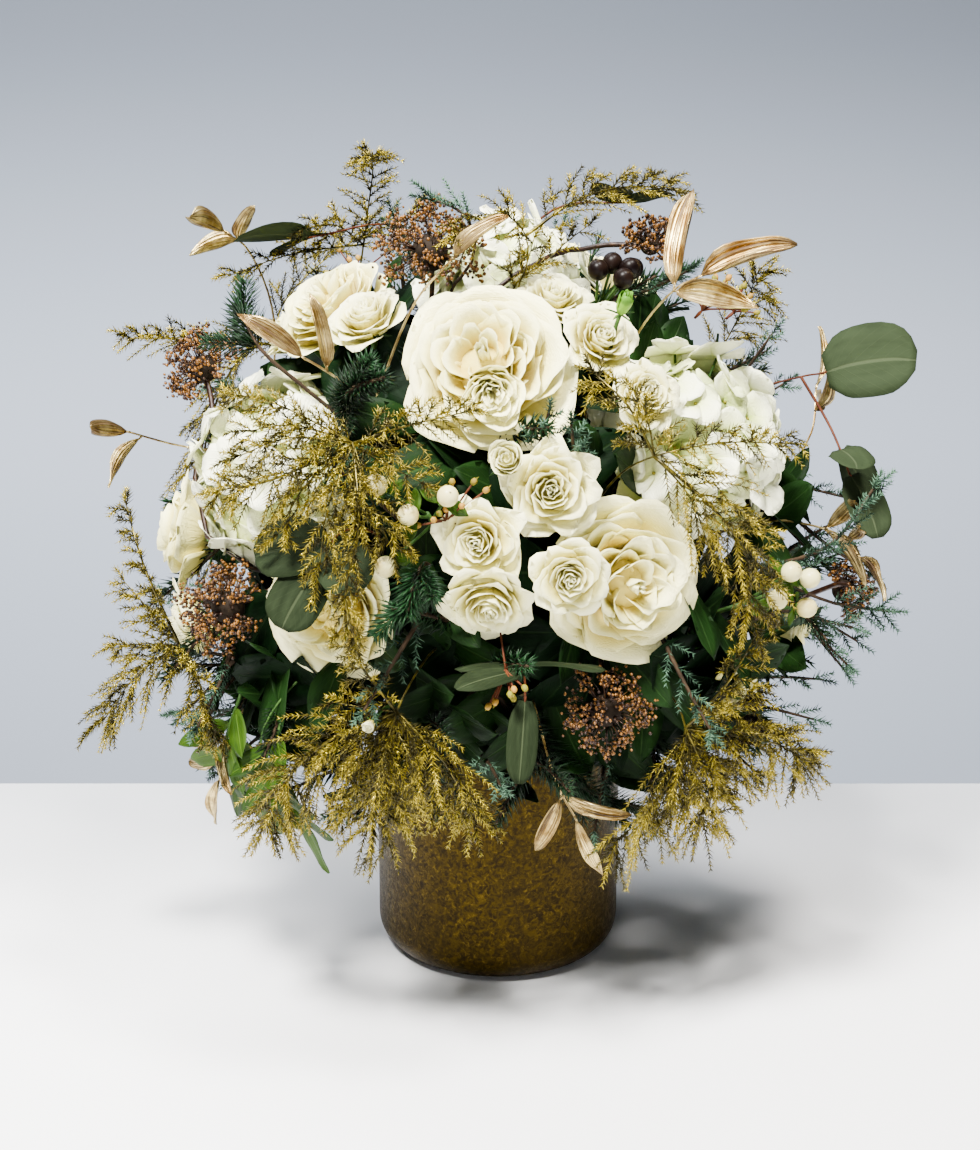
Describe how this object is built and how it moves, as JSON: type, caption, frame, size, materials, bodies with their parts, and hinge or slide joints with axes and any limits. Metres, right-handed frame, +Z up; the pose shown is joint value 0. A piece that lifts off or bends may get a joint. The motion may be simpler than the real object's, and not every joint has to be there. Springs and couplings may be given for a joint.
{
  "type": "floral table centerpiece",
  "caption": "Round vase filled with floral foam that holds a ball of ivory roses, white hydrangeas, berries, gilded fern and mixed foliage.",
  "frame": {"origin": "middle of the vase's flat foot, on the surface it stands on", "axes": "+Z up along the vase's axis, -Y to the front of the arrangement, +X to its right seen from the front"},
  "size_m": [0.4752, 0.4049, 0.49],
  "materials": {
    "vase": "antique bronze-gold glaze, satin, with a fine swirling gold mottle",
    "foam": "wet floral foam, matt dark green",
    "rose_petals": "garden rose petals, ivory, deeper cream yellow between them",
    "spray_rose": "spray rose petals, ivory, on green stalks and sepals",
    "hydrangea_florets": "hydrangea florets, white with a faint green throat",
    "green_stem": "cut flower stem, green",
    "hypericum": "ivory hypericum berries on green stalks and leaves",
    "dark_berries": "near-black brown berries",
    "skimmia": "copper brown skimmia buds",
    "gold_leaves": "leaves painted champagne gold, satin metallic, with brown streaks",
    "gold_fern": "asparagus fern painted gold, satin metallic",
    "eucalyptus": "grey-green eucalyptus leaves, matt, with pale ribs",
    "ruscus": "bright green ruscus leaves, slightly glossy",
    "fir": "fir twigs with dark green needles",
    "juniper": "juniper twigs, blue green"
  },
  "bodies": {
    "root": {"dark_berries": "dark_berries", "eucalyptus_bottom": "eucalyptus", "eucalyptus_centre_left": "eucalyptus", "eucalyptus_right": "eucalyptus", "eucalyptus_top": "eucalyptus", "fir_bottom": "fir", "fir_centre": "fir", "fir_upper_left": "fir", "floral_foam": "foam", "garden_rose_back_right_bloom": "rose_petals", "garden_rose_back_right_stem": "green_stem", "garden_rose_back_top_bloom": "rose_petals", "garden_rose_back_top_stem": "green_stem", "garden_rose_front_left_bloom": "rose_petals", "garden_rose_front_left_stem": "green_stem", "garden_rose_front_right_bloom": "rose_petals", "garden_rose_front_right_stem": "green_stem", "garden_rose_front_top_bloom": "rose_petals", "garden_rose_front_top_stem": "green_stem", "garden_rose_top_left_bloom": "rose_petals", "garden_rose_top_left_stem": "green_stem", "gold_fern_back_left": "gold_fern", "gold_fern_back_right": "gold_fern", "gold_fern_bottom_left": "gold_fern", "gold_fern_bottom_right": "gold_fern", "gold_fern_left_centre": "gold_fern", "gold_fern_lower_left": "gold_fern", "gold_fern_right_centre": "gold_fern", "gold_fern_top": "gold_fern", "gold_fern_upper_left": "gold_fern", "gold_leaves_left": "gold_leaves", "gold_leaves_lower_left": "gold_leaves", "gold_leaves_lower_right": "gold_leaves", "gold_leaves_right": "gold_leaves", "gold_leaves_top_right": "gold_leaves", "gold_leaves_upper_left": "gold_leaves", "hydrangea_back_head": "hydrangea_florets", "hydrangea_back_stem": "green_stem", "hydrangea_left_head": "hydrangea_florets", "hydrangea_left_stem": "green_stem", "hydrangea_right_head": "hydrangea_florets", "hydrangea_right_stem": "green_stem", "hydrangea_top_head": "hydrangea_florets", "hydrangea_top_stem": "green_stem", "hypericum_centre": "hypericum", "hypericum_right": "hypericum", "juniper_lower_left": "juniper", "juniper_right": "juniper", "juniper_top": "juniper", "ruscus": "ruscus", "skimmia_left": "skimmia", "skimmia_right": "skimmia", "skimmia_top": "skimmia", "spray_rose_back": "spray_rose", "spray_rose_front": "spray_rose", "spray_rose_left": "spray_rose", "spray_rose_lower_right": "spray_rose", "spray_rose_top_left": "spray_rose", "spray_rose_top_right": "spray_rose", "vase": "vase"}
  },
  "joints": []
}
